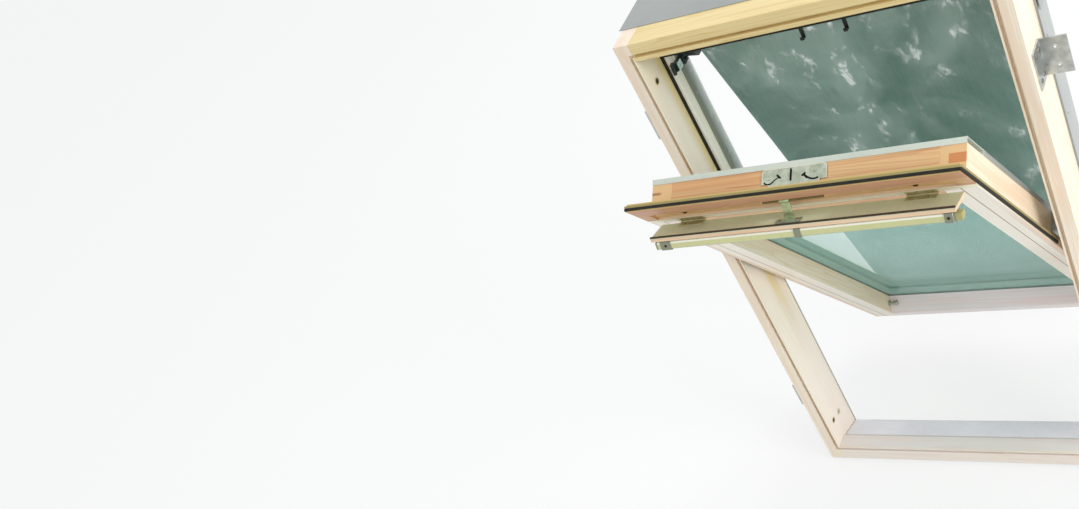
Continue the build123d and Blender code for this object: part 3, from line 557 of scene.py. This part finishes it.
def take(piece, faces=None, edges=None):
    """Open a piece for editing with the faces or edges selected that pass a test of place and way."""
    mesh = piece.data
    for group in (mesh.vertices, mesh.edges, mesh.polygons):
        group.foreach_set("select", [False] * len(group))
    if faces:
        for face in mesh.polygons:
            face.select = faces(face.center, face.normal)
    else:
        for edge in mesh.edges:
            a, b = (mesh.vertices[i].co for i in edge.vertices)
            edge.select = edges((a + b) / 2, (b - a).normalized())
    bpy.context.tool_settings.mesh_select_mode = (False, not faces, bool(faces))
    bpy.ops.object.mode_set(mode="EDIT")


def put_down():
    bpy.ops.object.mode_set(mode="OBJECT")


def bevel(piece, offset, segments, edges):
    take(piece, edges=edges)
    bpy.ops.mesh.bevel(offset=offset, segments=segments, affect="EDGES")
    put_down()


def step_in(piece, faces, *steps):
    """Inset picked faces again and again, each time by a thickness and a height."""
    take(piece, faces=faces)
    for thickness, height in steps:
        bpy.ops.mesh.inset(thickness=thickness, depth=height)
    put_down()


def join_or_cut(piece, other, how="DIFFERENCE"):
    """Join another solid to a piece, or cut its shape out, and merge what the cut leaves side by side."""
    apply(piece, "BOOLEAN", operation=how, object=other, solver="EXACT")
    bpy.data.objects.remove(other, do_unlink=True)
    bpy.ops.object.mode_set(mode="EDIT")
    bpy.ops.mesh.select_all(action="SELECT")
    bpy.ops.mesh.remove_doubles(threshold=0.01)
    put_down()


def fit(piece, name, body, finish, edge=0.0, place=None):
    """Ease a shaped piece, set it in its body's place and give it its finish."""
    piece.name = piece.data.name = name
    ease(piece, edge)
    piece.data.transform(AXES[body].matrix @ (place or Matrix.Identity(4)))
    piece.data.materials.append(finish.material)
    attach(piece, body)
    return piece


def upwards(low):
    return lambda middle, normal: normal.z > 0.9 and middle.z > low


# Built parts
DRESS = [
    (jamb_pine, 1.4, "frame_left_jamb frame_right_jamb"), (head_pine, 1.2, "frame_top_rail"),
    (sill_pine, 1.4, "frame_bottom_rail"), (stop_pine, 0.8, "side_stop_left side_stop_right head_stop"),
    (gasket_rubber, 0.8, "frame_gasket"), (dark_plug, 0.3, "jamb_plugs"),
    (cream_plastic, 0.3, "bolt_bush"), (cover_lacquer, 0.2, "side_cover_left side_cover_right"),
    (grey_lacquer, 0.2, "lower_cover_left lower_cover_right head_hood"), (sill_lacquer, 0.2, "sill_cover"),
    (zinc, 0.4, "roof_brackets pivot_bracket_left pivot_bracket_right"),
    (black_lacquer, 0.4, "striker screen_hooks"),
    (rail_pine, 1.0, "sash_top_rail"), (foot_pine, 1.4, "sash_bottom_rail"),
    (stile_pine, 0.8, "sash_left_stile sash_right_stile flange_strip_left flange_strip_right"),
    (board_pine, 0.8, "vent_board"), (dark_foam, 0, "vent_filter"), (sash_rubber, 0.8, "sash_gasket"),
    (room_glass, 0, "inner_pane"), (roof_glass, 0, "outer_pane"), (spacer_alloy, 0.3, "glass_spacer"),
    (glazing_rubber, 0.2, "glazing_gasket"), (pale_lacquer, 0.2, "top_cladding"),
    (sash_lacquer, 0.2, "side_cladding_left side_cladding_right lower_cladding_left lower_cladding_right"),
    (sash_lacquer, 0.2, "bottom_cladding"), (sash_zinc, 0.5, "lock_casing pivot_arm_left pivot_arm_right"),
    (nickel, 0.4, "bolt_barrel bolt_rod"), (hinge_brass, 0.15, "hinge_sash_leaves hinge_flap_leaves"),
    (flap_lacquer, 0.3, "flap_panel"), (lath_pine, 0.8, "flap_lath"), (flap_rubber, 0.5, "flap_gasket"),
    (lever_metal, 0.4, "lever_strap"), (rod_metal, 0.5, "lever_rod"), (bar_lacquer, 0.2, "control_bar"),
    (grey_plastic, 0.5, "bar_brackets"), (roller_alloy, 0.3, "screen_roller screen_bar"),
]
for finish, edge, names in DRESS:
    for node in names.split():
        dress(node, finish, edge)


# Roller brackets, their lower edge cut back along a slope
CUT_AT, CUT_FACING = (0, 148, 1250.5), (0, 0.588, 0.809)
roller_brackets = dress("roller_brackets", black_lacquer, 0)
bpy.ops.object.mode_set(mode="EDIT")
bpy.ops.mesh.select_all(action="SELECT")
bpy.ops.mesh.bisect(plane_co=in_frame.matrix @ Vector(CUT_AT), plane_no=CUT_FACING, use_fill=True,
                    clear_inner=True)
bpy.ops.object.mode_set(mode="OBJECT")
ease(roller_brackets, 0.4 * MM)


# Lock plate with its raised rim, catch slots and turned bosses
CUT_DEEP = 8.0
RIM, RIM_HIGH = 2.2, 0.5
BOSS_LEFT, BOSS_RIGHT = (-54.8, -9.4), (38.6, -2.0)
# Each straight slot's two ends, x and y, and its width
STRAIGHT_SLOTS = [((-8.6, 4.6), (-8.6, -20), 4.8), ((13.5, -13.2), (22, -6.9), 4.4),
                  ((17.5, -10), (26.5, -18.5), 4.6), ((-38.3, -4.5), (-29, -12.6), 4.2),
                  ((-33.2, -9.8), (-44.5, -16.6), 2.6)]
# Each curved slot's middle, radius, first and last angle, and width
CURVED_SLOTS = [(BOSS_RIGHT, 19, -132, -62, 3.6), (BOSS_LEFT, 12.6, -140, -35, 3.2)]


def slot_between(a, b, width):
    """A cutter for a straight slot with round ends in the lock plate."""
    a, b = Vector((*a, SLOT_FLOOR)), Vector((*b, SLOT_FLOOR))
    way, half = b - a, (b - a).length / 2
    cutter = block((-half, -width / 2, 0), (half, width / 2, CUT_DEEP))
    bevel(cutter, width * 0.49, 4, lambda middle, along: abs(along.z) > 0.9)
    cutter.data.transform(Matrix.Translation((a + b) / 2) @ turn_to(way, "X", "Z"))
    return cutter


def slot_around(middle, radius, first, last, width):
    """A cutter for a slot that follows an arc, its angles in degrees, spun clockwise from the last."""
    cutter = start("plane", size=1, location=(radius, 0, CUT_DEEP / 2), rotation=(math.pi / 2, 0, 0),
                   scale=(width, CUT_DEEP, 1))
    take(cutter, faces=lambda middle, normal: True)
    bpy.ops.mesh.spin(steps=14, angle=math.radians(last - first), center=(0, 0, 0), axis=(0, 0, 1))
    bpy.ops.mesh.select_all(action="SELECT")
    bpy.ops.mesh.normals_make_consistent(inside=False)
    put_down()
    turn = Matrix.Rotation(math.radians(last), 4, "Z")
    cutter.data.transform(Matrix.Translation((*middle, SLOT_FLOOR)) @ turn)
    return cutter


def lock_blank(margin, floor, thick, corner, low):
    """The plate's outline with its two round lobes, drawn in by a margin, and a web between them."""
    left, right = LOCK_LEFT + margin, LOCK_RIGHT - margin
    blank = block((left, LOBE_Y - 4, floor), (right, LOCK_HIGH - margin, floor + thick))
    bevel(blank, corner, 6, lambda middle, way: abs(way.z) > 0.9 and middle.y > 0)
    inner_left, inner_right = LOCK_LEFT + LOBE_IN, LOCK_RIGHT - LOBE_IN
    for x in (inner_left, inner_right):
        lobe = disc((x, LOBE_Y, floor + thick / 2), LOBE_R - margin, thick, sides=40)
        join_or_cut(blank, lobe, "UNION")
    web = block((inner_left, low, floor), (inner_right, LOBE_Y - 3, floor + thick))
    join_or_cut(blank, web, "UNION")
    return blank


def lock_plate():
    plate = lock_blank(0, SASH_TOP, LOCK_THICK, corner=8, low=LOCK_LOW - 1)
    join_or_cut(plate, block((LOCK_LEFT - 5, -50, SASH_TOP - 9), (LOCK_RIGHT + 5, LOCK_LOW, SASH_TOP + 9)))
    sunk = lock_blank(RIM, SASH_TOP + LOCK_THICK - RIM_HIGH, 5, corner=6, low=LOCK_LOW - 6)
    for cutter in (sunk, *(slot_between(*slot) for slot in STRAIGHT_SLOTS),
                   *(slot_around(*slot) for slot in CURVED_SLOTS)):
        join_or_cut(plate, cutter)
    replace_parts(fit(plate, "lock_face", "sash", nickel), "lock_plate")
    for name, (x, y), r in (("lock_boss_left", BOSS_LEFT, 4.6), ("lock_boss_right", BOSS_RIGHT, 5.8)):
        boss = disc((x, y, SASH_TOP + LOCK_THICK - 0.1), r, 1.6, sides=40)
        step_in(boss, upwards(SASH_TOP), (r * 0.3, 0), (r * 0.1, -0.5), (r * 0.25, 0), (r * 0.1, 0.3))
        fit(boss, name, "sash", nickel, edge=0.15)


lock_plate()


# Screws
def screw(radius):
    """A pan head with a cross recess, standing on the origin and facing up."""
    head = disc((0, 0, radius * 0.12), radius, radius * 0.54, sides=24)
    bevel(head, radius * 0.3, 3, lambda middle, way: middle.z > 0 and abs(way.z) < 0.1)
    half_long, half_wide, floor = radius * 0.55, radius * 0.11, radius * 0.12
    for turned in (0, math.pi / 2):
        arm = block((-half_long, -half_wide, floor), (half_long, half_wide, radius))
        arm.data.transform(Matrix.Rotation(turned, 4, "Z"))
        join_or_cut(head, arm)
    return head


def outward(at):
    """Away from the window's middle, across its width."""
    return (math.copysign(1, at[0]), 0, 0)


def inward(at):
    """Towards the window's middle, across its width."""
    return (-math.copysign(1, at[0]), 0, 0)


def drive(radius, name, body, finish, facing, places):
    """Set like screws at their places, each a copy of one head."""
    head = screw(radius)
    for count, at in enumerate(places, 1):
        one = bpy.data.objects.new("screw", head.data.copy())
        bpy.context.scene.collection.objects.link(one)
        turn = turn_to(facing(at) if callable(facing) else facing)
        fit(one, f"{name}_screw_{count}", body, finish, place=Matrix.Translation(at) @ turn)
    bpy.data.objects.remove(head, do_unlink=True)


FACING_IN, FACING_OUT, FACING_UP = (0, -1, 0), (0, 1, 0), (0, 0, 1)
RECESS_SCREWS = [(side * HINGE_X, RECESS_FLOOR, 577) for side in BOTH]
RECESS_PINS = [(side * 305, RECESS_FLOOR, 577.4) for side in BOTH]
HINGE_SASH = [(side * HINGE_X + step, SASH_ROOM - HINGE_LEAF, 552) for side in BOTH for step in (-23, 23)]
HINGE_FLAP = [(side * HINGE_X + step, 0, 11) for side in BOTH for step in (-14, 14)]
LEVER_FOOT = [(LEVER_X + side * 18, 0.8, 46.5) for side in BOTH]
BAR_ENDS = [(x, -20, BAR_FAR + WRAP) for x in (-278, 294)]
ROOF_BRACKETS = [(side * (OUTSIDE + 3), y, z + step)
                 for side in BOTH for z in (199, 1149) for y in (26, 46) for step in (-26, 26)]
PIVOT_BRACKETS = [(side * (JAMB_FACE - 4), y, PIVOT_Z + step)
                  for side in BOTH for y in (89, 118) for step in (-38, 38)]
SIDE_COVERS = [(side * COVER_SIDE, 112, z) for side in BOTH for z in (800, 980, 1160)]
LOWER_COVERS = [(side * (OUTSIDE + 1.5), 110, z) for side in BOTH for z in (60, 370, 690)]
HOOD_ENDS = [(side * (COVER_SIDE + 4), y, 1330) for side in BOTH for y in (92, 186)]
drive(4.8, "recess", "sash", dark_steel, FACING_IN, RECESS_SCREWS)
drive(1.1, "recess_pin", "sash", dark_steel, FACING_IN, RECESS_PINS)
drive(1.9, "hinge_sash", "sash", screw_steel, FACING_IN, HINGE_SASH)
drive(1.9, "hinge_flap", "flap", screw_steel, FACING_OUT, HINGE_FLAP)
drive(3.1, "lever_foot", "flap", screw_steel, FACING_OUT, LEVER_FOOT)
drive(2.8, "bar", "flap", dark_steel, FACING_UP, BAR_ENDS)
drive(4.2, "roof_bracket", "frame", screw_steel, outward, ROOF_BRACKETS)
drive(3.4, "pivot_bracket", "frame", screw_steel, inward, PIVOT_BRACKETS)
drive(3.2, "side_cover", "frame", zinc, outward, SIDE_COVERS)
drive(3.2, "lower_cover", "frame", zinc, outward, LOWER_COVERS)
drive(3.2, "hood", "frame", zinc, outward, HOOD_ENDS)


# Rivet of the lever's strap
RIVET_Y, RIVET_Z, RIVET_R, RIVET_THICK = 15.0, 39.7, 3.2, 1.4
rivet = disc((LEVER_X, RIVET_Y, RIVET_Z), RIVET_R, RIVET_THICK, sides=28)
bevel(rivet, 0.6, 3, lambda middle, way: middle.z > RIVET_Z + 0.3 and abs(way.z) < 0.1)
step_in(rivet, upwards(RIVET_Z + 0.5), (0.9, 0), (0.3, -0.3))
fit(rivet, "lever_rivet", "flap", lever_metal)


# Clips that hold the control bar, and the bar's end cap beyond the right one
CLIPS = (("left", -290, -266), ("middle", 4.4, 17.8), ("right", 286.8, 301))
CLIP_PLAY, CAP_IN, CAP_LONG = 0.1, 1.4, 16
for word, left, right in CLIPS:
    clip = block((left, BAR_LOW - WRAP, BAR_NEAR - WRAP), (right, BAR_HIGH + WRAP, BAR_FAR + WRAP))
    bevel(clip, 2.2, 3, lambda middle, way: abs(way.x) > 0.9)
    join_or_cut(clip, block((left - 5, BAR_LOW + CLIP_PLAY, BAR_NEAR + CLIP_PLAY),
                            (right + 5, BAR_HIGH - CLIP_PLAY, BAR_FAR - CLIP_PLAY)))
    fit(clip, f"bar_clip_{word}", "flap", grey_plastic, edge=0.3)
cap = block((right, BAR_LOW + CAP_IN, BAR_NEAR + CAP_IN),
            (right + CAP_LONG, BAR_HIGH - CAP_IN, BAR_FAR - CAP_IN))
bevel(cap, 1.8, 4, lambda middle, way: middle.x > right + CAP_LONG - 1 or abs(way.x) > 0.9)
fit(cap, "bar_end_cap", "flap", olive_plastic)


# Catches beside the head, one set on each side stop
ARM_Y, ARM_Z, ARM_THICK, ARM_SLOPE = (82, 123), (1272, 1276), 3, math.radians(-7)


def catch_set(side, word):
    """A spring arm on its foot, a forked guide, a ring clip and a keeper, beside the cover's leg."""
    stop, leg = side * (STOP_FACE - 0.1), side * (COVER_LEG - 0.2)

    def piece(x, y, z):
        return block((min(x), y[0], z[0]), (max(x), y[1], z[1]))

    arm = piece((leg, leg - side * ARM_THICK), ARM_Y, ARM_Z)
    root = Vector((0, ARM_Y[0], (ARM_Z[0] + ARM_Z[1]) / 2))
    arm.data.transform(Matrix.Translation(root) @ Matrix.Rotation(ARM_SLOPE, 4, "X") @
                       Matrix.Translation(-root))
    join_or_cut(arm, piece((stop, leg - side * ARM_THICK), (81, 90), (1269, 1279)), "UNION")
    tip = disc((leg - side * ARM_THICK / 2, 119, 1269.6), 3.6, ARM_THICK, (1, 0, 0), 24)
    join_or_cut(arm, tip, "UNION")
    fit(arm, f"catch_arm_{word}", "frame", black_lacquer, edge=0.4)

    guide = piece((stop, stop - side * 6.4), (79, 99), (1252, 1270))
    join_or_cut(guide, piece((stop - side * 3, stop - side * 9), (84, 94), (1249, 1273)))
    bevel(guide, 2.5, 3, lambda middle, way: abs(way.x) > 0.9 and middle.y < 80)
    fit(guide, f"catch_guide_{word}", "frame", black_plastic, edge=0.5)

    clip = piece((leg, leg - side * 3.6), (101, 121), (1248, 1268))
    bevel(clip, 4, 4, lambda middle, way: abs(way.x) > 0.9)
    join_or_cut(clip, disc((leg - side * 4, 111, 1258), 5, 5, (1, 0, 0), 28))
    fit(clip, f"catch_clip_{word}", "frame", clip_plastic, edge=0.4)

    keeper = piece((leg, leg - side * 6.2), (124, 146), (1246, 1284))
    join_or_cut(keeper, piece((leg - side * 3, leg - side * 9), (129, 150), (1254, 1276)))
    bevel(keeper, 3, 3, lambda middle, way: abs(way.x) > 0.9 and middle.y < 125)
    fit(keeper, f"catch_keeper_{word}", "frame", black_plastic, edge=0.5)


catch_set(-1, "left")
catch_set(1, "right")


# Sun-screen cloth, stretched from its roller down to its bar
def screen_piece(name, body, finish, depth, low, high, flutter, node):
    """A length of screen cloth with a slight flutter, as thick as its weave."""
    long = high - low
    cloth = start("grid", x_subdivisions=40, y_subdivisions=max(8, int(long / 15)), size=1,
                  location=(0, depth, (low + high) / 2), rotation=(math.pi / 2, 0, 0),
                  scale=(2 * CLOTH_HALF, long, 1))
    for point in cloth.data.vertices:
        share = (point.co.z - low) / long
        held = math.sin(math.pi * min(1, max(0, share * 1.25 - 0.25)))
        across = point.co.x / CLOTH_HALF
        wave = math.sin(across * 7 + share * 3) * 0.5 + math.sin(share * 17 + across * 2) * 0.3
        point.co.y += flutter * held * (wave + 0.6 * (1 - across ** 2))
    apply(cloth, "SOLIDIFY", thickness=CLOTH_THICK, offset=0)
    fit(cloth, name, body, finish)
    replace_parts(cloth, node)


screen_piece("sun_screen", "screen", screen_weave, depth=-13.0, low=-CLOTH_LONG, high=0, flutter=2.2,
             node="screen_cloth")
screen_piece("sun_screen_end", "screen_end", tail_weave, depth=-11.8, low=TAIL_FOOT,
             high=TAIL_FOOT + TAIL_LONG, flutter=0, node="screen_tail")


# Floor and daylight: near white where looked at, soft light for the rest
FLOOR_LEVEL = -0.684
bpy.ops.object.select_all(action="DESELECT")
bpy.ops.mesh.primitive_plane_add(size=80, location=(0, 0, FLOOR_LEVEL))
floor = bpy.context.object
floor.name = "floor"
paper = Finish("floor_paper", Base_Color=shade(236, 238, 236), Roughness=0.9)
white = paper.node("ShaderNodeEmission", {}, {"Color": (1, 1, 1), "Strength": 1.0})
matt = Field(paper, paper.shader.outputs[0])
shown = paper.node("ShaderNodeMixShader", {}, {0: paper.looked_at() * 0.7, 1: matt, 2: white})
paper.feed(paper.tree.nodes["Material Output"].inputs["Surface"], shown)
floor.data.materials.append(paper.material)

daylight = bpy.data.worlds.new("daylight")
bpy.context.scene.world = daylight
daylight.use_nodes = True
sky = Graph(daylight.node_tree)
soft_light = sky.node("ShaderNodeBackground", {}, {"Color": (0.96, 0.98, 1.0), "Strength": 0.8})
plain_white = sky.node("ShaderNodeBackground", {}, {"Color": (1, 1, 1), "Strength": 1.0})
sky_mix = sky.node("ShaderNodeMixShader", {}, {0: sky.looked_at(), 1: soft_light, 2: plain_white})
sky.feed(sky.tree.nodes["World Output"].inputs["Surface"], sky_mix)


def lamp(name, place, size, power):
    """A round soft lamp that looks at the window's middle."""
    light = bpy.data.lights.new(name, "AREA")
    light.shape = "DISK"
    light.size = size
    light.energy = power
    holder = bpy.data.objects.new(name, light)
    bpy.context.scene.collection.objects.link(holder)
    holder.location = place
    holder.rotation_euler = (-Vector(place)).to_track_quat("-Z", "Y").to_euler()


lamp("sky_lamp", place=(1.6, 3.4, 3.6), size=3.0, power=90)
lamp("room_lamp", place=(4.6, -1.6, 2.6), size=3.0, power=140)

# Camera: its place, and which way its right, top and lens face
CAMERA_AT = (1.009956, -1.924546, 1.828700)
TO_RIGHT = Vector((0.76984699, 0.40617086, -0.49230158))
TO_TOP = Vector((-0.0014203, 0.77244469, 0.63508045))
AHEAD = Vector((-0.63822691, 0.48821556, -0.59524111))
view = bpy.data.cameras.new("camera")
camera = bpy.data.objects.new("camera", view)
bpy.context.scene.collection.objects.link(camera)
turned = Matrix((TO_RIGHT, TO_TOP, -AHEAD)).transposed().to_4x4()
camera.matrix_world = Matrix.Translation(CAMERA_AT) @ turned
view.sensor_width = 36
view.lens = FOCAL / IMAGE_WIDE * view.sensor_width
view.shift_x = 0.5 - CENTRE_X / IMAGE_WIDE
view.shift_y = (CENTRE_Y - IMAGE_HIGH / 2) / IMAGE_WIDE
view.clip_start = 0.05
view.clip_end = 200
bpy.context.scene.camera = camera
bpy.context.scene.view_settings.view_transform = "Standard"
